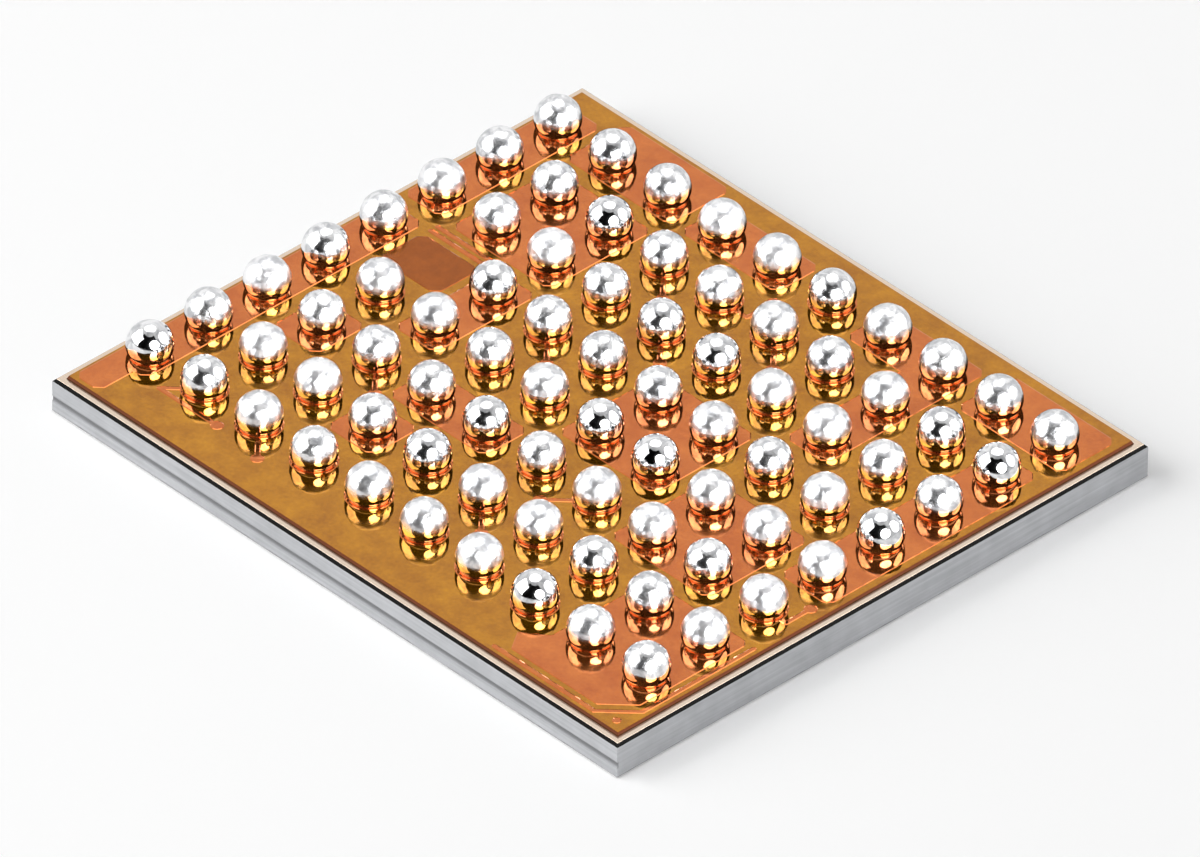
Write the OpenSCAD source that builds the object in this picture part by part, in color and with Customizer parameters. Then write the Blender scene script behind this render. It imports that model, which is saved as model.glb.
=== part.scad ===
// Wafer-level ball grid array, lying on the back of its die with the solder balls up.
// Stacked from the back: silicon die, circuit layers with aluminium bond pads, lower film,
// copper redistribution pieces, upper film, under-bump pads and solder balls.
// The origin is the centre of the die's back. X runs along the ten-ball side.

/* [Array] */
// Spacing of the balls in both directions
pitch = 0.4; // [0.35:0.05:0.4]
// Distance from the first column's centres to the die's left edge
margin_left = 0.20; // [0.2:0.02:0.4]
// Distance from the last column's centres to the die's right edge
margin_right = 0.30; // [0.3:0.02:0.5]
// Distance from the first row's centres to the die's back edge
margin_back = 0.36; // [0.36:0.02:0.5]
// Distance from the last row's centres to the die's front edge
margin_front = 0.48; // [0.48:0.02:0.7]

/* [Die] */
// Thickness of the silicon up to its bare street
die_t = 0.204; // [0.16:0.004:0.4]
// Run and depth of the slope that the laser groove leaves along the top edge
groove_slope = 0.016; // [0.008:0.002:0.02]
// Width of the bare street between that slope and the coat
street_w = 0.034; // [0.02:0.002:0.036]
// Break along the lower edge
edge_break = 0.008; // [0.004:0.002:0.012]
// Height of the saw mark's centre on the front wall
saw_mark_z = 0.082; // [0.06:0.002:0.1]
// Height of the band that the saw mark takes up
saw_mark_h = 0.044; // [0.02:0.002:0.06]
// Depth of the saw mark
saw_mark_d = 0.006; // [0.004:0.001:0.01]

/* [Coat] */
// Thickness of the circuit layers
circuit_t = 0.006; // [0.005:0.001:0.01]
// Thickness of the aluminium bond pads
bond_pad_t = 0.003; // [0.002:0.001:0.004]
// Side of a bond pad
bond_pad_w = 0.052; // [0.046:0.002:0.06]
// Thickness of the lower film
lower_film_t = 0.005; // [0.004:0.001:0.01]
// Thickness of the copper
copper_t = 0.005; // [0.004:0.001:0.009]
// Thickness of the upper film over the copper
cover_t = 0.005; // [0.004:0.001:0.01]
// How far the coat's edge slopes inwards over its whole thickness
coat_run = 0.010; // [0.006:0.002:0.012]

/* [Copper] */
// Radius of the copper land under a ball
land_r = 0.126; // [0.12:0.002:0.14]
// Radius of a via through the lower film
via_r = 0.020; // [0.014:0.002:0.022]
// Radius of the copper round a via
via_land_r = 0.036; // [0.03:0.002:0.04]
// Width of a copper trace
trace_w = 0.030; // [0.02:0.002:0.036]
// Cut across the corners of a copper plane
plane_cut = 0.040; // [0.02:0.005:0.05]

/* [Solder balls] */
// Diameter of a ball
ball_d = 0.250; // [0.22:0.005:0.26]
// Height of a ball's top above the upper film
ball_stand = 0.190; // [0.18:0.002:0.2]
// Radius of the opening in the upper film under a ball
opening_r = 0.080; // [0.06:0.005:0.09]
// Height of the under-bump pad above the upper film
pad_lip = 0.004; // [0.003:0.001:0.006]

/* [Hidden] */
$fn = 48;
columns = 10;
rows = 8;
// Column and row of the site that has no ball, counted from the back left corner
empty_site = [1, 3];

die_l = (columns - 1) * pitch + margin_left + margin_right;
die_w = (rows - 1) * pitch + margin_front + margin_back;
array_x = (margin_left - margin_right) / 2;
array_y = (margin_front - margin_back) / 2;
wall_t = die_t - groove_slope;
coat_z = die_t;
lower_film_z = coat_z + circuit_t;
copper_z = lower_film_z + lower_film_t;
cover_z = copper_z + copper_t;
film_top = cover_z + cover_t;
coat_l = die_l - 2 * (groove_slope + street_w);
coat_w = die_w - 2 * (groove_slope + street_w);
coat_t = film_top - coat_z;
saw_mark_floor = saw_mark_h / 3;
// Length by which a cutting body runs past the face that it opens
overcut = 0.002;

ball_r = ball_d / 2;
ball_z = film_top + ball_stand - ball_r;
seat_z = film_top + pad_lip;
// A ball wets its pad right to the rim, so the pad is as wide as the ball's flat
pad_r = sqrt(pow(ball_r, 2) - pow(ball_z - seat_z, 2));
// A via stands behind each ball, clear of the opening above
via_shift = [-0.085, 0.085];

function site_x(column) = array_x + (column - (columns - 1) / 2) * pitch;
function site_y(row) = array_y + ((rows - 1) / 2 - row) * pitch;
function site(s) = [site_x(s[0]), site_y(s[1])];

// Copper planes. Each is a list of boxes [column, row, column, row] from its back left to its
// front right corner, in steps of the ball grid, so a ball sits at whole numbers.
supply_planes = [
    [[-0.32, -0.42, 0.37, 2.38]],
    [[0.52, -0.70, 2.44, 0.38]],
    [[0.60, 0.62, 2.40, 2.42]],
    [[-0.32, 2.62, 0.34, 7.40], [-0.32, 7.20, 0.14, 8.00]],
    [[1.64, 2.62, 2.40, 4.38]],
    [[0.60, 4.62, 1.42, 5.50]],
    [[2.62, 4.62, 4.38, 5.40]],
    [[2.62, -0.40, 4.38, 0.38]],
    [[4.62, 2.62, 6.38, 4.38]],
    [[5.62, -0.40, 7.38, 0.38], [6.62, 0.20, 7.38, 2.38]],
    [[7.62, -0.60, 9.50, 0.38]],
    [[8.62, 0.62, 9.36, 1.38], [8.62, 1.10, 9.50, 4.38]],
    [[6.62, 3.62, 8.38, 5.38]],
    [[2.58, 5.60, 3.42, 6.42]],
];
supply_boxes = [for (plane = supply_planes) each plane];
// Corners of the ground plane in steps of the grid, and the balls that it carries
ground_corners = [
    [7.72, 5.62],
    [9.32, 5.62],
    [9.40, 5.70],
    [9.40, 7.48],
    [9.02, 7.86],
    [7.48, 7.86],
    [7.28, 7.56],
    [7.62, 7.30],
    [7.62, 5.72]
];
ground_sites = [[8, 6], [9, 6], [8, 7], [9, 7]];
// Plain land under both films at the empty site
blank_land_box = [0.46, 2.77, 1.52, 3.54];

// Traces from a single ball's land to a far via land: [column, row] of the ball, then the steps
// to the trace's bend and end.
traces = [
    [[3, 1], [[0.50, 0.50]]],
    [[4, 1], [[0.50, 0.00], [0.50, -0.46]]],
    [[3, 3], [[0.50, 0.50]]],
    [[4, 2], [[0.46, 0.46]]],
    [[5, 1], [[0.50, 0.50]]],
    [[6, 5], [[-0.50, 0.50]]],
    [[9, 5], [[0.40, 0.00], [0.40, -0.42]]],
    [[2, 5], [[0.50, 0.50]]],
    [[5, 6], [[0.50, 0.50]]],
    [[1, 7], [[-0.40, 0.40], [0.66, 0.40]]],
    [[2, 7], [[0.50, 0.50]]],
];
// Lines beside the empty site: rows that they lie on, and the columns where they start and end
bypass_rows = [2.54, 2.66];
bypass_span = [0.50, 1.48];
// Guard line round the front right corner and the dot outside its bend, in steps of the grid
guard_path = [[7.30, 7.97], [9.09, 7.97], [9.51, 7.55], [9.51, 5.66]];
corner_dot = [9.42, 7.90];
corner_dot_r = 0.024;

sites = [for (row = [0:rows - 1]) for (column = [0:columns - 1]) [column, row]];
ball_sites = [for (s = sites) if (s != empty_site) s];
single_sites = [for (s = ball_sites) if (!in_boxes(s, supply_boxes) && !is_listed(s, ground_sites)) s];
trace_ends = [for (t = traces) t[0] + t[1][len(t[1]) - 1]];

function in_box(s, box) = s[0] > box[0] && s[0] < box[2] && s[1] > box[1] && s[1] < box[3];
function is_listed(s, list) = len([for (item = list) if (item == s) 1]) > 0;
function in_boxes(s, boxes) = len([for (box = boxes) if (in_box(s, box)) 1]) > 0;

// Side of a plate whose edge runs inwards as it rises
module sloped_side(base, height, run) {
    polygon([
        [-base / 2, 0],
        [base / 2, 0],
        [base / 2 - run, height],
        [-base / 2 + run, height]
    ]);
}

// One level of the coat, from z up to z + t, with its share of the coat's sloped edge
module coat_level(z, t) {
    inset = coat_run * (z - coat_z) / coat_t;
    run = coat_run * t / coat_t;
    length = coat_l - 2 * inset;
    width = coat_w - 2 * inset;
    translate([0, 0, z]) intersection() {
        rotate([90, 0, 0]) linear_extrude(width, center = true) sloped_side(length, t, run);
        rotate([90, 0, 90]) linear_extrude(length, center = true) sloped_side(width, t, run);
    }
}

// Outline of the die seen from one end, with a broken lower edge and the groove's slope on top
module die_side(base) {
    half = base / 2;
    polygon([
        [-half + edge_break, 0],
        [half - edge_break, 0],
        [half, edge_break],
        [half, wall_t],
        [half - groove_slope, die_t],
        [-half + groove_slope, die_t],
        [-half, wall_t],
        [-half, edge_break]
    ]);
}

// Shallow notch that the second saw pass leaves along the front wall
module saw_mark() {
    polygon([
        [-die_w / 2 - overcut, saw_mark_z - saw_mark_h / 2],
        [-die_w / 2 + saw_mark_d, saw_mark_z - saw_mark_floor / 2],
        [-die_w / 2 + saw_mark_d, saw_mark_z + saw_mark_floor / 2],
        [-die_w / 2 - overcut, saw_mark_z + saw_mark_h / 2]
    ]);
}

module silicon_die() {
    color("#c9cacc") intersection() {
        rotate([90, 0, 0]) linear_extrude(die_w, center = true) die_side(die_l);
        rotate([90, 0, 90]) linear_extrude(die_l, center = true) difference() {
            die_side(die_w);
            saw_mark();
        }
    }
}

// Repeats a child at every via of the chip
module at_vias() {
    for (s = ball_sites) translate(site(s) + via_shift) children();
    for (end = trace_ends) translate(site(end)) children();
}

module bond_pad(t) {
    linear_extrude(t) square(bond_pad_w, center = true);
}

module circuit_layers() {
    color("#8d8f96") difference() {
        coat_level(coat_z, circuit_t);
        translate([0, 0, lower_film_z - bond_pad_t]) at_vias() bond_pad(bond_pad_t + overcut);
    }
}

module bond_pads() {
    color("#d5d7da") translate([0, 0, lower_film_z - bond_pad_t]) at_vias() bond_pad(bond_pad_t);
}

module lower_film() {
    color("#b77a1c") difference() {
        coat_level(lower_film_z, lower_film_t);
        translate([0, 0, lower_film_z - overcut]) at_vias() {
            cylinder(lower_film_t + 2 * overcut, via_r, via_r);
        }
    }
}

// Rectangle with cut corners over a box of the ball grid
module plane_box(box) {
    west = site_x(box[0]);
    east = site_x(box[2]);
    back = site_y(box[1]);
    front = site_y(box[3]);
    polygon([
        [west + plane_cut, front],
        [east - plane_cut, front],
        [east, front + plane_cut],
        [east, back - plane_cut],
        [east - plane_cut, back],
        [west + plane_cut, back],
        [west, back - plane_cut],
        [west, front + plane_cut]
    ]);
}

module supply_outline(boxes) {
    for (box = boxes) plane_box(box);
}

module ground_outline() {
    polygon([for (corner = ground_corners) site(corner)]);
}

// Straight trace with round ends between two points
module trace_run(from, to) {
    step = to - from;
    length = norm(step);
    translate((from + to) / 2) rotate(atan2(step[1], step[0])) square([length, trace_w], center = true);
    translate(from) circle(trace_w / 2);
    translate(to) circle(trace_w / 2);
}

// Trace through a list of grid places
module trace_path(places) {
    for (k = [1:len(places) - 1]) trace_run(site(places[k - 1]), site(places[k]));
}

// Round land under one ball, with the smaller land of its via
module ball_land(s) {
    translate(site(s)) circle(land_r);
    translate(site(s) + via_shift) circle(via_land_r);
}

module ball_trace(trace) {
    places = concat([trace[0]], [for (step = trace[1]) trace[0] + step]);
    trace_path(places);
    translate(site(places[len(places) - 1])) circle(via_land_r);
}

module single_outline() {
    for (s = single_sites) ball_land(s);
    for (trace = traces) ball_trace(trace);
    for (row = bypass_rows) trace_path([[bypass_span[0], row], [bypass_span[1], row]]);
}

module guard_outline() {
    trace_path(guard_path);
    translate(site(corner_dot)) circle(corner_dot_r);
}

// Copper of a given outline
module copper() {
    color("#d4783a") translate([0, 0, copper_z]) linear_extrude(copper_t) children();
}

// Via plugs at the given places, each reaching halfway into the copper above it
module via_plugs(places) {
    color("#d4783a") for (place = places) {
        translate(concat(place, [lower_film_z])) cylinder(lower_film_t + copper_t / 2, via_r, via_r);
    }
}

module supply_plane(boxes) {
    copper() supply_outline(boxes);
    via_plugs([for (s = ball_sites) if (in_boxes(s, boxes)) site(s) + via_shift]);
}

module ground_plane() {
    copper() ground_outline();
    via_plugs([for (s = ground_sites) site(s) + via_shift]);
}

module blank_land() {
    copper() plane_box(blank_land_box);
}

module signal_lands() {
    copper() single_outline();
    via_plugs([for (s = single_sites) site(s) + via_shift]);
    via_plugs([for (end = trace_ends) site(end)]);
}

module guard_line() {
    copper() guard_outline();
}

module upper_film() {
    color("#c08a22", 0.7) difference() {
        coat_level(copper_z, film_top - copper_z);
        translate([0, 0, copper_z - overcut]) linear_extrude(copper_t + overcut) {
            supply_outline(supply_boxes);
            ground_outline();
            plane_box(blank_land_box);
            single_outline();
            guard_outline();
        }
        translate([0, 0, cover_z - overcut]) for (s = ball_sites) {
            translate(site(s)) cylinder(cover_t + 2 * overcut, opening_r, opening_r);
        }
    }
}

// Copper disc that fills the opening and flares out over the film under the ball
module under_bump_pad() {
    rotate_extrude() polygon([
        [0, cover_z],
        [opening_r, cover_z],
        [opening_r, film_top],
        [pad_r, film_top],
        [pad_r, seat_z],
        [0, seat_z]
    ]);
}

module under_bump_pads(row) {
    color("#b96a3c") for (s = ball_sites) {
        if (s[1] == row) translate(site(s)) under_bump_pad();
    }
}

// Reflowed ball: a sphere cut flat where it has wetted its pad
module solder_ball() {
    difference() {
        translate([0, 0, ball_z]) sphere(ball_r);
        translate([-ball_r, -ball_r, seat_z - ball_d]) cube(ball_d);
    }
}

module solder_balls(row) {
    color("#dcdee2") for (s = ball_sites) {
        if (s[1] == row) translate(site(s)) solder_ball();
    }
}

silicon_die();
circuit_layers();
bond_pads();
lower_film();
for (n = [1:len(supply_planes)]) {
    supply_plane(supply_planes[n - 1]);
}
ground_plane();
blank_land();
signal_lands();
guard_line();
upper_film();
for (n = [1:rows]) {
    under_bump_pads(n - 1);
    solder_balls(n - 1);
}
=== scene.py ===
"""Wafer-level ball grid array lying on the back of its die, solder balls up."""

import math
import random

import bmesh
import bpy
from mathutils import Matrix, Vector, noise


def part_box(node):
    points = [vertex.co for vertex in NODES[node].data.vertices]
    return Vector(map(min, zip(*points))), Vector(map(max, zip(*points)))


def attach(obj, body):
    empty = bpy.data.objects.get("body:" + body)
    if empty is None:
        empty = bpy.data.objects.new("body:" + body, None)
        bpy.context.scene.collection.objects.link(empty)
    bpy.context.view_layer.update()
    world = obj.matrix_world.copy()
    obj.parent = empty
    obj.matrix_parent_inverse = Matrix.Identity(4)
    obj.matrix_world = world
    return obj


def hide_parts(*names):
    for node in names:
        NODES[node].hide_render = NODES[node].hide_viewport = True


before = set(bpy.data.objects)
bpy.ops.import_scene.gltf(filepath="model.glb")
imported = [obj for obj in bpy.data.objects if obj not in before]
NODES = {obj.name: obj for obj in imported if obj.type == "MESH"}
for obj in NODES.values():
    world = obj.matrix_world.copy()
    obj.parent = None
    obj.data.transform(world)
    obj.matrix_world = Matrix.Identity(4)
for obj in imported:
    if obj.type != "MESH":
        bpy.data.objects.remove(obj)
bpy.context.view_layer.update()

MM = 0.001
UM = 0.000001

BALL_ROWS = sorted(name for name in NODES if name.startswith("solder_balls_row_"))
PAD_ROWS = sorted(name for name in NODES if name.startswith("under_bump_pads_row_"))
COPPER_PIECES = sorted(
    name
    for name in NODES
    if name.startswith("supply_plane_") or name in ("ground_plane", "signal_lands", "guard_line")
)

# Heights and places, from the frame
FILM_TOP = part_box("upper_film")[1].z
COPPER_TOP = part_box("ground_plane")[1].z
DIE_LOW, DIE_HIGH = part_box("silicon_die")
STREET_TOP = DIE_HIGH.z
GROOVE_DEPTH = 16 * UM
WALL_TOP = STREET_TOP - GROOVE_DEPTH
# Slack for a comparison of two heights
HAIR = 0.5 * UM
BALL_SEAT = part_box(BALL_ROWS[0])[0].z
BALL_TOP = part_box(BALL_ROWS[0])[1].z
ROW_1_LOW, ROW_1_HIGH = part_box(BALL_ROWS[0])
BALL_RADIUS = (ROW_1_HIGH.y - ROW_1_LOW.y) / 2
BALL_CENTRE_Z = BALL_TOP - BALL_RADIUS
COLUMNS = 10
FIRST_COLUMN_X = ROW_1_LOW.x + BALL_RADIUS
PITCH = (ROW_1_HIGH.x - ROW_1_LOW.x - 2 * BALL_RADIUS) / (COLUMNS - 1)
# The floor of the saw step lies just behind the front wall, well above the die's lower edge
STEP_NEAR, STEP_FAR = DIE_LOW.y + 1 * UM, DIE_LOW.y + 7 * UM
LOWER_EDGE_TOP = 20 * UM
STEP_HEIGHTS = [
    v.co.z
    for v in NODES["silicon_die"].data.vertices
    if STEP_NEAR < v.co.y < STEP_FAR and v.co.z > LOWER_EDGE_TOP
]
SAW_STEP_Z = (min(STEP_HEIGHTS) + max(STEP_HEIGHTS)) / 2


# ---------------------------------------------------------------- colours and nodes

def srgb(hex_code):
    """Linear RGBA from an sRGB hex code."""
    levels = [int(hex_code[i:i + 2], 16) / 255 for i in (1, 3, 5)]
    linear = [v / 12.92 if v <= 0.04045 else ((v + 0.055) / 1.055) ** 2.4 for v in levels]
    return (*linear, 1.0)


def add(tree, kind, settings=None, values=None, links=None):
    """Adds one node, with its settings, its input values and the sockets linked into it."""
    node = tree.nodes.new(kind)
    for name, value in (settings or {}).items():
        setattr(node, name, value)
    for name, value in (values or {}).items():
        node.inputs[name].default_value = value
    for name, socket in (links or {}).items():
        tree.links.new(socket, node.inputs[name])
    return node


def new_material(name):
    """An empty material with its output node and its Object coordinates."""
    material = bpy.data.materials.new(name)
    material.use_nodes = True
    tree = material.node_tree
    tree.nodes.clear()
    output = add(tree, "ShaderNodeOutputMaterial")
    place = add(tree, "ShaderNodeTexCoord").outputs["Object"]
    return material, tree, output, place


def finish_material(tree, output, shader):
    """Links the shader to the material's output."""
    tree.links.new(shader.outputs[0], output.inputs["Surface"])


def per_metre(size_mm):
    """Texture scale whose features are about size_mm across, on coordinates in metres."""
    return 1 / (size_mm * MM)


# ---------------------------------------------------------------- materials

def sawn_silicon():
    """Silicon: a dicing blade leaves grey, finely scored walls; the slope of the laser groove above
    them is painted near black; the street on top keeps the wafer's polish."""
    material, tree, output, place = new_material("sawn_silicon")
    height = add(tree, "ShaderNodeSeparateXYZ", links={"Vector": place}).outputs["Z"]
    # Blade marks: streaks along the wall, a few micrometres apart in height
    streak_place = add(
        tree, "ShaderNodeMapping",
        values={"Scale": (per_metre(0.9), per_metre(0.9), per_metre(0.016))},
        links={"Vector": place},
    )
    streaks = add(
        tree, "ShaderNodeTexNoise",
        values={"Scale": 1.0, "Detail": 3.0, "Roughness": 0.6},
        links={"Vector": streak_place.outputs[0]},
    )
    stains = add(
        tree, "ShaderNodeTexNoise",
        values={"Scale": per_metre(0.11), "Detail": 2.0},
        links={"Vector": place},
    )
    wall_grey = add(
        tree, "ShaderNodeMix", {"data_type": "RGBA"},
        {"A": srgb("#A9ABAE"), "B": srgb("#DADBDE")},
        {"Factor": streaks.outputs["Fac"]},
    )
    stains_and_shade = add(
        tree, "ShaderNodeMix", {"data_type": "RGBA", "blend_type": "MULTIPLY"},
        {"Factor": 0.25},
        {"A": wall_grey.outputs["Result"], "B": stains.outputs["Fac"]},
    )
    # Painted shade along the lower edge, where the wall meets the floor: about 10 um high with a
    # ragged upper limit
    edge_shade_raggedness = 14 * UM
    edge_shade_end, edge_shade_full = 6 * UM, 1 * UM
    edge_shade_line = add(
        tree, "ShaderNodeMath", {"operation": "MULTIPLY_ADD"},
        {1: -edge_shade_raggedness}, {0: stains.outputs["Fac"], 2: height},
    )
    edge_shaded = add(
        tree, "ShaderNodeMapRange",
        values={"From Min": edge_shade_end, "From Max": edge_shade_full, "To Min": 0.0, "To Max": 0.75},
        links={"Value": edge_shade_line.outputs[0]},
    )
    # Dark grey painted shade at the foot of the wall, mixed over the stains
    stains_and_shade = add(
        tree, "ShaderNodeMix", {"data_type": "RGBA"},
        {"B": srgb("#3A393A")},
        {"Factor": edge_shaded.outputs[0], "A": stains_and_shade.outputs["Result"]},
    )
    # The second saw pass leaves its step along the front wall scuffed
    scuffs_end, scuffs_full = 26 * UM, 8 * UM
    front_wall_back = DIE_LOW.y + 9 * UM
    from_step = add(
        tree, "ShaderNodeMath", {"operation": "SUBTRACT"}, {1: SAW_STEP_Z}, {0: height},
    )
    from_step = add(
        tree, "ShaderNodeMath", {"operation": "ABSOLUTE"}, links={0: from_step.outputs[0]},
    )
    step_band = add(
        tree, "ShaderNodeMapRange", {"interpolation_type": "SMOOTHSTEP"},
        {"From Min": scuffs_end, "From Max": scuffs_full},
        {"Value": from_step.outputs[0]},
    )
    depth = add(tree, "ShaderNodeSeparateXYZ", links={"Vector": place}).outputs["Y"]
    on_front = add(
        tree, "ShaderNodeMath", {"operation": "LESS_THAN"}, {1: front_wall_back}, {0: depth},
    )
    scuffed = add(
        tree, "ShaderNodeMath", {"operation": "MULTIPLY"},
        links={0: step_band.outputs[0], 1: on_front.outputs[0]},
    )
    scuffed = add(
        tree, "ShaderNodeMath", {"operation": "MULTIPLY"},
        {1: 0.7}, {0: scuffed.outputs[0]},
    )
    stains_and_shade = add(
        tree, "ShaderNodeMix", {"data_type": "RGBA"},
        {"B": srgb("#5C5C5E")},
        {"Factor": scuffed.outputs[0], "A": stains_and_shade.outputs["Result"]},
    )
    on_slope = add(
        tree, "ShaderNodeMath", {"operation": "GREATER_THAN"},
        {1: WALL_TOP + HAIR}, {0: height},
    )
    on_street = add(
        tree, "ShaderNodeMath", {"operation": "GREATER_THAN"},
        {1: STREET_TOP - HAIR}, {0: height},
    )
    # The slope of the groove is painted near black
    slope_painted_black = add(
        tree, "ShaderNodeMix", {"data_type": "RGBA"},
        {"B": srgb("#050403")},
        {"Factor": on_slope.outputs[0], "A": stains_and_shade.outputs["Result"]},
    )
    color = add(
        tree, "ShaderNodeMix", {"data_type": "RGBA"},
        {"B": srgb("#DECBB8")},
        {"Factor": on_street.outputs[0], "A": slope_painted_black.outputs["Result"]},
    )
    roughness = add(
        tree, "ShaderNodeMapRange",
        values={"To Min": 0.55, "To Max": 0.16},
        links={"Value": on_street.outputs[0]},
    )
    metallic = add(
        tree, "ShaderNodeMapRange",
        values={"To Min": 0.35, "To Max": 1.0},
        links={"Value": on_street.outputs[0]},
    )
    bump = add(
        tree, "ShaderNodeBump",
        values={"Strength": 0.5, "Distance": 1.2 * UM},
        links={"Height": streaks.outputs["Fac"]},
    )
    shader = add(
        tree, "ShaderNodeBsdfPrincipled",
        values={"Specular IOR Level": 0.1},
        links={
            "Base Color": color.outputs["Result"],
            "Roughness": roughness.outputs[0],
            "Metallic": metallic.outputs[0],
            "Normal": bump.outputs[0],
        },
    )
    finish_material(tree, output, shader)
    return material


def film_over_metal(name, pale, deep, roughness, metallic, coat):
    """Spun-on polyimide over metal: the light goes through the clear amber coat, off the metal and
    back, so the eye sees a tinted mirror with faint waves and streaks from the spin."""
    material, tree, output, place = new_material(name)
    clouds = add(
        tree, "ShaderNodeTexNoise",
        values={"Scale": per_metre(0.16), "Detail": 4.0, "Roughness": 0.6},
        links={"Vector": place},
    )
    grain = add(
        tree, "ShaderNodeTexNoise",
        values={"Scale": per_metre(0.018), "Detail": 2.0},
        links={"Vector": place},
    )
    tone = add(
        tree, "ShaderNodeMath", {"operation": "MULTIPLY_ADD"},
        {1: 0.35}, {0: grain.outputs["Fac"], 2: clouds.outputs["Fac"]},
    )
    spread = add(
        tree, "ShaderNodeMapRange",
        values={"From Min": 0.45, "From Max": 0.95},
        links={"Value": tone.outputs[0]},
    )
    color = add(
        tree, "ShaderNodeMix", {"data_type": "RGBA"},
        {"A": srgb(deep), "B": srgb(pale)},
        {"Factor": spread.outputs[0]},
    )
    # On the sloped edge the light leaves the film through its thickness, brown and dull
    dull_below, glossy_above = FILM_TOP - 1.5 * UM, FILM_TOP - 0.6 * UM
    height = add(tree, "ShaderNodeSeparateXYZ", links={"Vector": place}).outputs["Z"]
    on_edge = add(
        tree, "ShaderNodeMapRange",
        values={
            "From Min": dull_below, "From Max": glossy_above, "To Min": 1.0, "To Max": 0.0,
        },
        links={"Value": height},
    )
    color = add(
        tree, "ShaderNodeMix", {"data_type": "RGBA"},
        {"B": srgb("#5A2806")},
        {"Factor": on_edge.outputs[0], "A": color.outputs["Result"]},
    )
    gloss = add(
        tree, "ShaderNodeMapRange",
        values={"To Min": roughness, "To Max": 0.5},
        links={"Value": on_edge.outputs[0]},
    )
    waves = add(
        tree, "ShaderNodeTexNoise",
        values={"Scale": per_metre(0.06), "Detail": 1.0},
        links={"Vector": place},
    )
    bump = add(
        tree, "ShaderNodeBump",
        values={"Strength": 1.0, "Distance": 0.7 * UM},
        links={"Height": waves.outputs["Fac"]},
    )
    shader = add(
        tree, "ShaderNodeBsdfPrincipled",
        values={
            "Metallic": metallic,
            "Coat Weight": coat,
            "Coat Roughness": 0.04,
            "Coat IOR": 1.6,
        },
        links={
            "Base Color": color.outputs["Result"],
            "Roughness": gloss.outputs[0],
            "Normal": bump.outputs[0],
        },
    )
    finish_material(tree, output, shader)
    return material


def reflowed_solder():
    """Tin-silver-copper solder: it froze from the top, so the crown is frosted and dented by its
    crystals, and the flank below keeps the smooth skin of the melt."""
    material, tree, output, place = new_material("reflowed_solder")
    height = add(tree, "ShaderNodeSeparateXYZ", links={"Vector": place}).outputs["Z"]
    frost = add(
        tree, "ShaderNodeAttribute", {"attribute_name": "frost", "attribute_type": "GEOMETRY"},
    )
    frost_starts, frost_full = BALL_CENTRE_Z - 0.02 * MM, BALL_CENTRE_Z + 0.03 * MM
    crown = add(
        tree, "ShaderNodeMapRange", {"interpolation_type": "SMOOTHSTEP"},
        {"From Min": frost_starts, "From Max": frost_full},
        {"Value": height},
    )
    frosted = add(
        tree, "ShaderNodeMath", {"operation": "MULTIPLY"},
        links={0: crown.outputs[0], 1: frost.outputs["Fac"]},
    )
    crystals = add(
        tree, "ShaderNodeTexNoise",
        values={"Scale": per_metre(0.05), "Detail": 2.0, "Roughness": 0.5, "Distortion": 0.3},
        links={"Vector": place},
    )
    patches = add(
        tree, "ShaderNodeTexNoise",
        values={"Scale": per_metre(0.055), "Detail": 2.0, "Distortion": 0.8},
        links={"Vector": place},
    )
    cloud = add(
        tree, "ShaderNodeMapRange",
        values={"From Min": 0.36, "From Max": 0.62},
        links={"Value": patches.outputs["Fac"]},
    )
    color = add(
        tree, "ShaderNodeMix", {"data_type": "RGBA"},
        {"A": srgb("#BEBFC2"), "B": srgb("#EFEFF0")},
        {"Factor": cloud.outputs[0]},
    )
    roughness = add(
        tree, "ShaderNodeMapRange",
        values={"To Min": 0.06, "To Max": 0.34},
        links={"Value": frosted.outputs[0]},
    )
    crystal_depth, skin_depth = 5.0 * UM, 0.5 * UM
    dent_depth = add(
        tree, "ShaderNodeMath", {"operation": "MULTIPLY_ADD"},
        {1: crystal_depth, 2: skin_depth}, {0: frosted.outputs[0]},
    )
    bump = add(
        tree, "ShaderNodeBump",
        values={"Strength": 1.0},
        links={"Height": crystals.outputs["Fac"], "Distance": dent_depth.outputs[0]},
    )
    shader = add(
        tree, "ShaderNodeBsdfPrincipled",
        values={"Metallic": 1.0},
        links={
            "Base Color": color.outputs["Result"],
            "Roughness": roughness.outputs[0],
            "Normal": bump.outputs[0],
        },
    )
    finish_material(tree, output, shader)
    return material


def plated_metal(name, pale, deep, grain_mm, roughness):
    """Sputtered or plated metal with the fine grain of its crystals."""
    material, tree, output, place = new_material(name)
    grain = add(
        tree, "ShaderNodeTexNoise",
        values={"Scale": per_metre(grain_mm), "Detail": 2.0},
        links={"Vector": place},
    )
    color = add(
        tree, "ShaderNodeMix", {"data_type": "RGBA"},
        {"A": srgb(deep), "B": srgb(pale)},
        {"Factor": grain.outputs["Fac"]},
    )
    bump = add(
        tree, "ShaderNodeBump",
        values={"Strength": 0.4, "Distance": 0.4 * UM},
        links={"Height": grain.outputs["Fac"]},
    )
    shader = add(
        tree, "ShaderNodeBsdfPrincipled",
        values={"Metallic": 1.0, "Roughness": roughness},
        links={"Base Color": color.outputs["Result"], "Normal": bump.outputs[0]},
    )
    finish_material(tree, output, shader)
    return material


def paint(node_name, material):
    """Gives a node of the frame its material."""
    slots = NODES[node_name].data.materials
    slots.clear()
    slots.append(material)


# ---------------------------------------------------------------- camera

# Degrees from -Y towards +X, above the horizon, and about the line of sight
CAMERA_TURN = 46.154
CAMERA_RISE = 36.900
CAMERA_ROLL = 0.698
CAMERA_DISTANCE = 168.0 * MM
# Width of the view, and how far the array's centre lies from the middle, in ball pitches
PITCHES_ACROSS = 14.945
VIEW_RIGHT, VIEW_UP = 0.0213, 0.5027


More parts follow.
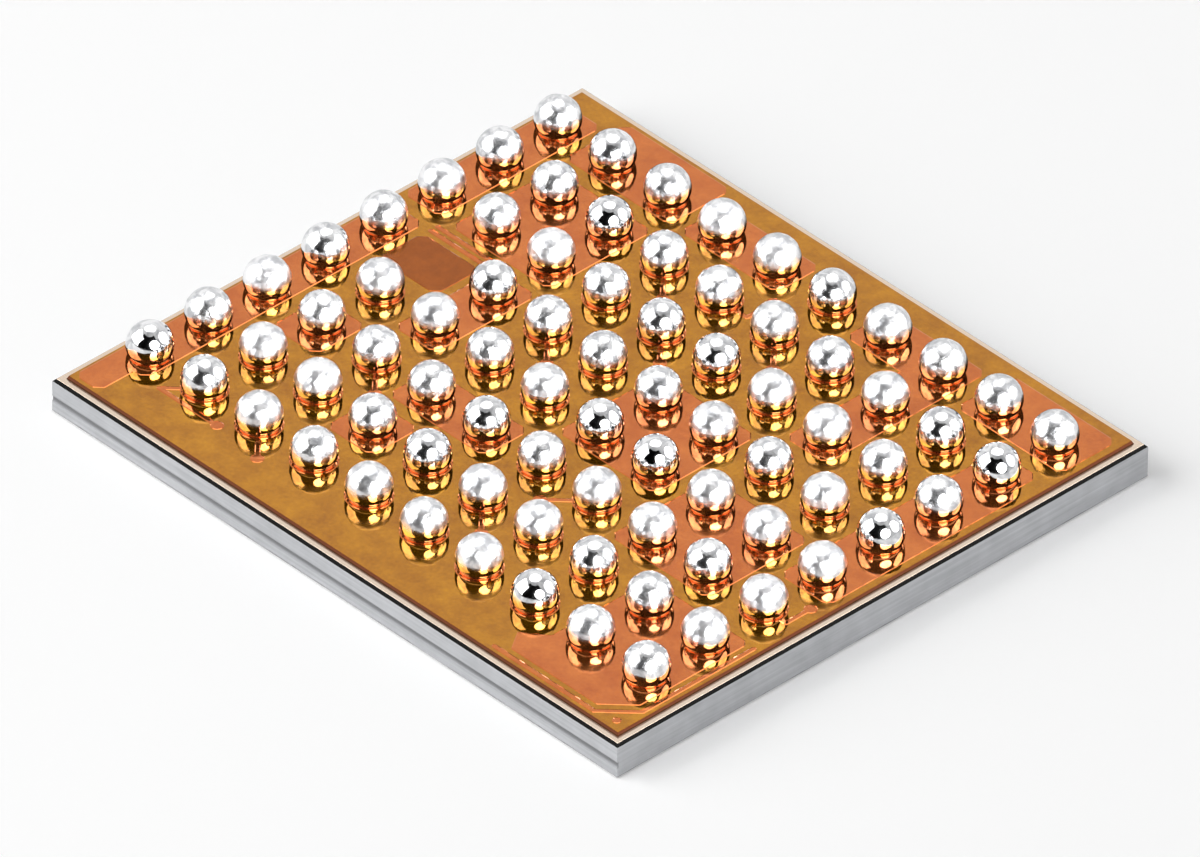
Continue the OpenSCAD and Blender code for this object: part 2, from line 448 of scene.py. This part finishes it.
def direction(turn, rise):
    """Unit vector to a place on the sky: turn from -Y towards +X, rise above the horizon."""
    across, above = math.radians(turn), math.radians(rise)
    return Vector((
        math.sin(across) * math.cos(above),
        -math.cos(across) * math.cos(above),
        math.sin(above),
    ))


def add_camera():
    """Long lens, nearly parallel, that looks down on the front right corner."""
    back = direction(CAMERA_TURN, CAMERA_RISE)
    right = (-back).cross(Vector((0, 0, 1))).normalized()
    up = right.cross(-back)
    roll = math.radians(CAMERA_ROLL)
    right, up = (
        math.cos(roll) * right + math.sin(roll) * up,
        -math.sin(roll) * right + math.cos(roll) * up,
    )
    array_centre = Vector((
        (ROW_1_LOW.x + ROW_1_HIGH.x) / 2,
        (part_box(BALL_ROWS[0])[0].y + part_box(BALL_ROWS[-1])[1].y) / 2,
        BALL_CENTRE_Z,
    ))
    data = bpy.data.cameras.new("camera")
    data.sensor_width = 36.0
    data.lens = data.sensor_width * CAMERA_DISTANCE / (PITCHES_ACROSS * PITCH)
    data.clip_start, data.clip_end = 0.01, 10.0
    camera = bpy.data.objects.new("camera", data)
    bpy.context.scene.collection.objects.link(camera)
    aim = array_centre - PITCH * (VIEW_RIGHT * right + VIEW_UP * up)
    turned = Matrix((right, up, back)).transposed().to_4x4()
    camera.matrix_world = Matrix.Translation(aim + back * CAMERA_DISTANCE) @ turned
    bpy.context.scene.camera = camera


# ---------------------------------------------------------------- studio

LAMP_DISTANCE = 120 * MM
# The card lies beyond the lamps, so it hides none of them
CARD_DISTANCE = 220 * MM
CARD_STEPS = 24
FLOOR_REACH = 0.6
# Strength of the even light from all round
FILL = 0.4


def soft_light(name, turn, rise, size, radiance, shape="DISK", size_y=None):
    """Area light that faces the chip from a place on the sky, with a set brightness."""
    data = bpy.data.lights.new(name, "AREA")
    data.shape = shape
    data.size = size
    if size_y:
        data.size_y = size_y
        area = size * size_y
    else:
        area = math.pi * (size / 2) ** 2
    data.energy = radiance * math.pi * area
    light = bpy.data.objects.new(name, data)
    bpy.context.scene.collection.objects.link(light)
    towards = direction(CAMERA_TURN + turn, rise)
    facing = towards.to_track_quat("Z", "Y").to_matrix().to_4x4()
    light.matrix_world = Matrix.Translation(towards * LAMP_DISTANCE) @ facing
    light.visible_camera = False
    return light


def stage_material(name):
    """An empty material for the floor or a card, with its output node."""
    material = bpy.data.materials.new(name)
    material.use_nodes = True
    tree = material.node_tree
    tree.nodes.clear()
    return material, tree, add(tree, "ShaderNodeOutputMaterial")


def seen_as_backdrop(tree):
    """1 for the camera and for reflections and refractions, 0 for light that falls on surfaces."""
    path = add(tree, "ShaderNodeLightPath")
    either = add(
        tree, "ShaderNodeMath", {"operation": "MAXIMUM"},
        links={0: path.outputs["Is Camera Ray"], 1: path.outputs["Is Glossy Ray"]},
    )
    return add(
        tree, "ShaderNodeMath", {"operation": "MAXIMUM"},
        links={0: either.outputs[0], 1: path.outputs["Is Transmission Ray"]},
    )


def add_world():
    """White backdrop. In reflections it is white beyond the chip and grey on the camera's side, and
    what is seen by way of two surfaces meets only the lamps, as in a dark hall."""
    world = bpy.data.worlds.new("studio")
    bpy.context.scene.world = world
    world.use_nodes = True
    tree = world.node_tree
    tree.nodes.clear()
    output = add(tree, "ShaderNodeOutputWorld")
    path = add(tree, "ShaderNodeLightPath")
    sky = add(tree, "ShaderNodeTexCoord").outputs["Generated"]
    nearness = add(
        tree, "ShaderNodeVectorMath", {"operation": "DOT_PRODUCT"},
        {1: direction(CAMERA_TURN, CAMERA_RISE)}, {0: sky},
    )
    shade = add(
        tree, "ShaderNodeMapRange",
        values={"From Min": -0.25, "From Max": 0.9, "To Min": 1.0, "To Max": 0.5},
        links={"Value": nearness.outputs["Value"]},
    )
    # The sky counts its own hit too, so a first reflection arrives here at a depth of 2
    first = add(
        tree, "ShaderNodeMath", {"operation": "LESS_THAN"},
        {1: 2.5}, {0: path.outputs["Ray Depth"]},
    )
    mirrored = add(
        tree, "ShaderNodeMath", {"operation": "MULTIPLY"},
        links={0: shade.outputs[0], 1: first.outputs[0]},
    )
    level = add(
        tree, "ShaderNodeMath", {"operation": "MAXIMUM"},
        links={0: mirrored.outputs[0], 1: path.outputs["Is Camera Ray"]},
    )
    fill = add(tree, "ShaderNodeBackground", values={"Color": srgb("#FFFFFF"), "Strength": FILL})
    white = add(
        tree, "ShaderNodeBackground",
        values={"Color": srgb("#FFFFFF")}, links={"Strength": level.outputs[0]},
    )
    both = add(
        tree, "ShaderNodeMixShader",
        links={0: seen_as_backdrop(tree).outputs[0], 1: fill.outputs[0], 2: white.outputs[0]},
    )
    tree.links.new(both.outputs[0], output.inputs["Surface"])


def add_floor():
    """Matt white card that keeps the chip's shadow and shows a little brighter than it is lit."""
    material, tree, output = stage_material("pale_floor")
    backdrop = seen_as_backdrop(tree)
    card = add(tree, "ShaderNodeBsdfDiffuse", values={"Color": srgb("#E8E8E8")})
    lifted = add(
        tree, "ShaderNodeMath", {"operation": "MULTIPLY"}, {1: 0.25}, {0: backdrop.outputs[0]},
    )
    lift = add(
        tree, "ShaderNodeEmission",
        values={"Color": srgb("#FFFFFF")}, links={"Strength": lifted.outputs[0]},
    )
    total = add(tree, "ShaderNodeAddShader", links={0: card.outputs[0], 1: lift.outputs[0]})
    tree.links.new(total.outputs[0], output.inputs["Surface"])
    mesh = bpy.data.meshes.new("floor")
    bm = bmesh.new()
    bmesh.ops.create_grid(bm, x_segments=1, y_segments=1, size=FLOOR_REACH)
    bmesh.ops.translate(bm, vec=(0, 0, -1 * UM), verts=bm.verts)
    bm.to_mesh(mesh)
    bm.free()
    mesh.materials.append(material)
    floor = bpy.data.objects.new("floor", mesh)
    bpy.context.scene.collection.objects.link(floor)


def add_dark_card():
    """Curved black card round the camera, which only reflections see: it gives the bright metal its
    contrast, as a dark card does beside any polished thing in a studio."""
    material, tree, output = stage_material("black_card")
    black = add(tree, "ShaderNodeEmission", values={"Color": srgb("#000000"), "Strength": 0.0})
    tree.links.new(black.outputs[0], output.inputs["Surface"])
    # Reach of the card in degrees: to both sides of the camera, and above the horizon
    left, right = -72.0, 44.0
    foot, top = 3.0, 68.0
    bm = bmesh.new()
    vert = bm.verts.new(direction(CAMERA_TURN + left, foot) * CARD_DISTANCE)
    side = direction(CAMERA_TURN + left + 90, 0)
    bmesh.ops.spin(
        bm, geom=[vert], cent=(0, 0, 0), axis=-side,
        angle=math.radians(top - foot), steps=CARD_STEPS, use_duplicate=False,
    )
    bmesh.ops.spin(
        bm, geom=list(bm.verts) + list(bm.edges), cent=(0, 0, 0), axis=(0, 0, 1),
        angle=math.radians(right - left), steps=CARD_STEPS, use_duplicate=False,
    )
    mesh = bpy.data.meshes.new("black_card")
    bm.to_mesh(mesh)
    bm.free()
    mesh.materials.append(material)
    card = bpy.data.objects.new("black_card", mesh)
    bpy.context.scene.collection.objects.link(card)
    card.visible_camera = False
    card.visible_diffuse = False
    card.visible_shadow = False
    card.visible_transmission = False


# ---------------------------------------------------------------- pieces

def link_piece(name, bm, material, smooth=True):
    """Makes the object, which rides with the chip."""
    mesh = bpy.data.meshes.new(name)
    bm.to_mesh(mesh)
    bm.free()
    if smooth:
        mesh.shade_smooth()
    mesh.materials.append(material)
    piece = bpy.data.objects.new(name, mesh)
    bpy.context.scene.collection.objects.link(piece)
    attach(piece, "root")
    return piece


def ball_places(row_name):
    """Centres of the balls of one row: the columns at which the frame has a solid."""
    low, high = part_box(row_name)
    y = (low.y + high.y) / 2
    crowns = [v.co.x for v in NODES[row_name].data.vertices if v.co.z > BALL_CENTRE_Z]
    for column in range(COLUMNS):
        x = FIRST_COLUMN_X + column * PITCH
        if any(abs(c - x) < BALL_RADIUS for c in crowns):
            yield column, x, y


# Balls whose crown stayed nearly as smooth as the flank, by column from 0 and row from 1, with how
# frosted each is
BRIGHT_BALLS = {
    (1, 1): 0.45, (5, 1): 0.4,
    (2, 2): 0.1, (8, 2): 0.3, (9, 2): 0.1,
    (4, 3): 0.4, (5, 3): 0.25,
    (2, 4): 0.4, (7, 4): 0.5, (9, 4): 0.15,
    (0, 5): 0.45, (5, 5): 0.15, (6, 5): 0.05,
    (4, 6): 0.25, (8, 6): 0.4,
    (4, 7): 0.3, (7, 7): 0.4,
    (0, 8): 0.1, (1, 8): 0.4, (7, 8): 0.1,
}


# Unevenness of a ball: its slow swell, the dents of its crown, and how far the crown has sunk
BALL_SWELL = 1.2 * UM
CROWN_DENTS = 2.4 * UM
CROWN_SINK = 2.0 * UM
# Verts this close together are one
WELD = 0.05 * UM


def add_balls(row, row_name, material):
    """One row of reflowed balls, each a little uneven, which stands for the row's plain spheres."""
    bm = bmesh.new()
    frost_layer = bm.verts.layers.float.new("frost")
    for column, x, y in ball_places(row_name):
        draw = random.Random(100 * row + column)
        centre = Vector((x, y, BALL_CENTRE_Z))
        made = bmesh.ops.create_icosphere(bm, subdivisions=5, radius=BALL_RADIUS)
        verts = made["verts"]
        frost = BRIGHT_BALLS.get((column, row), draw.uniform(0.6, 1.0))
        shift = Vector((draw.uniform(0, 50), draw.uniform(0, 50), draw.uniform(0, 50)))
        for v in verts:
            v[frost_layer] = frost
            unit = v.co.normalized()
            crown = max(0.0, min(1.0, unit.z * 2 + 0.4))
            swell = noise.noise(unit * 1.3 + shift) * BALL_SWELL
            dents = noise.noise(unit * 3.2 + shift) * CROWN_DENTS * crown * frost
            v.co += unit * (swell + dents - CROWN_SINK * crown)
        bmesh.ops.translate(bm, vec=centre, verts=verts)
    geom = list(bm.verts) + list(bm.edges) + list(bm.faces)
    cut = bmesh.ops.bisect_plane(
        bm, geom=geom, dist=0.01 * UM, plane_co=(0, 0, BALL_SEAT), plane_no=(0, 0, -1),
        clear_outer=True,
    )
    rims = [e for e in cut["geom_cut"] if isinstance(e, bmesh.types.BMEdge)]
    bmesh.ops.holes_fill(bm, edges=rims, sides=0)
    bmesh.ops.recalc_face_normals(bm, faces=bm.faces)
    piece = link_piece(f"reflowed_balls_row_{row}", bm, material)
    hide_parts(row_name)


# The film's rise over copper: its height, the run of its shoulder and the rounding of its corners
RISE_HEIGHT = 1.8 * UM
RISE_SHOULDER = 5.0 * UM
RISE_CORNER = 7.0 * UM
# The rise starts a little under the film's face, so that the two don't lie in one plane
RISE_ROOT = 0.3 * UM
RISE_FOOT = 0.5 * UM


def add_film_rise(copper_name, material):
    """The upper film lies over each copper piece as a low plateau with soft shoulders."""
    bm = bmesh.new()
    bm.from_mesh(NODES[copper_name].data)
    bmesh.ops.remove_doubles(bm, verts=bm.verts, dist=WELD)
    not_top = [
        f for f in bm.faces
        if f.normal.z < 0.9 or abs(f.calc_center_median().z - COPPER_TOP) > HAIR
    ]
    bmesh.ops.delete(bm, geom=not_top, context="FACES")
    bmesh.ops.dissolve_limit(
        bm, angle_limit=math.radians(1), verts=bm.verts, edges=bm.edges,
        use_dissolve_boundaries=False,
    )
    bmesh.ops.bevel(
        bm, geom=list(bm.verts), offset=RISE_CORNER, affect="VERTICES", segments=3,
        profile=0.5, material=-1, clamp_overlap=True,
    )
    bmesh.ops.translate(bm, vec=(0, 0, FILM_TOP - COPPER_TOP - RISE_ROOT), verts=bm.verts)
    raised = bmesh.ops.extrude_face_region(bm, geom=list(bm.faces), use_keep_orig=True)
    top = [f for f in raised["geom"] if isinstance(f, bmesh.types.BMFace)]
    top_verts = [v for v in raised["geom"] if isinstance(v, bmesh.types.BMVert)]
    bmesh.ops.translate(bm, vec=(0, 0, RISE_FOOT), verts=top_verts)
    bmesh.ops.inset_region(
        bm, faces=top, thickness=RISE_SHOULDER, depth=RISE_HEIGHT, use_even_offset=True,
    )
    bmesh.ops.recalc_face_normals(bm, faces=bm.faces)
    link_piece(f"film_over_{copper_name}", bm, material, smooth=False)


# ---------------------------------------------------------------- build

add_camera()
add_world()
add_floor()
add_dark_card()
round_lamp = soft_light("round_lamp", 24, 26, 96 * MM, 14.0)
round_lamp.visible_diffuse = False
soft_light("left_softbox", -88, 32, 120 * MM, 4.0, "RECTANGLE", 110 * MM)
right_softbox = soft_light("right_softbox", 90, 28, 100 * MM, 5.0)
right_softbox.visible_diffuse = False
far_top_light = soft_light("far_top_light", 178, 70, 100 * MM, 2.0)
far_top_light.visible_diffuse = False

silicon = sawn_silicon()
oxide = plated_metal("circuit_oxide_stack", "#4A2A12", "#2E1808", 0.02, 0.3)
aluminium = plated_metal("sputtered_aluminium", "#E4E6E8", "#CDD0D3", 0.01, 0.25)
copper = plated_metal("plated_copper", "#E08A52", "#C06A36", 0.012, 0.25)
lower_polyimide = film_over_metal("lower_polyimide", "#A8701C", "#7C4E12", 0.2, 0.7, 0.3)
amber_film = film_over_metal("polyimide_over_circuit", "#CC8A14", "#A8680C", 0.06, 0.88, 0.3)
copper_film = film_over_metal("polyimide_over_copper", "#DC7E38", "#C2642A", 0.08, 0.88, 0.3)
blank_film = film_over_metal("polyimide_over_blank_land", "#AA5A12", "#924808", 0.16, 0.88, 0.2)
solder = reflowed_solder()

paint("silicon_die", silicon)
paint("circuit_layers", oxide)
paint("bond_pads", aluminium)
paint("lower_film", lower_polyimide)
paint("upper_film", amber_film)
paint("blank_land", copper)
for name in COPPER_PIECES + PAD_ROWS:
    paint(name, copper)
for name in BALL_ROWS:
    paint(name, solder)

for row, row_name in enumerate(BALL_ROWS, start=1):
    add_balls(row, row_name, solder)
for name in COPPER_PIECES:
    add_film_rise(name, copper_film)
add_film_rise("blank_land", blank_film)

bpy.context.scene.view_settings.view_transform = "Standard"
